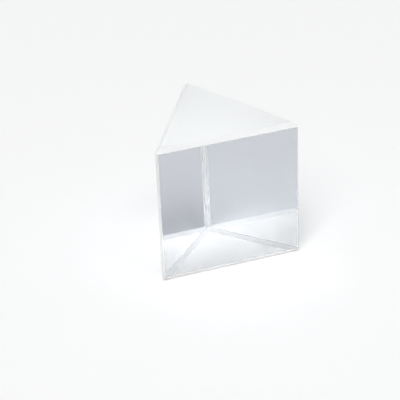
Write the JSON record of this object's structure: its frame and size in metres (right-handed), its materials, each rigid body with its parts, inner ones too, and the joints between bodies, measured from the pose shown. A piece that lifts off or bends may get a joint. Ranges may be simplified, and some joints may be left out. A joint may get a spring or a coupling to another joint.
{
  "type": "equilateral prism",
  "caption": "Solid glass prism with an equilateral triangular section, polished sides, ground ends and bevelled edges, which bends and splits a light beam.",
  "frame": {"origin": "middle of the lower triangular end, on the surface that the prism stands on", "axes": "+Z along the prism's long edges, up; -Y out of one polished side, whose bottom edge runs along X"},
  "size_m": [0.049, 0.0424, 0.05],
  "materials": {
    "optical_glass": "clear crown glass: three polished sides, fine-ground ends and bevels"
  },
  "bodies": {
    "root": {"prism": "optical_glass"}
  },
  "joints": []
}
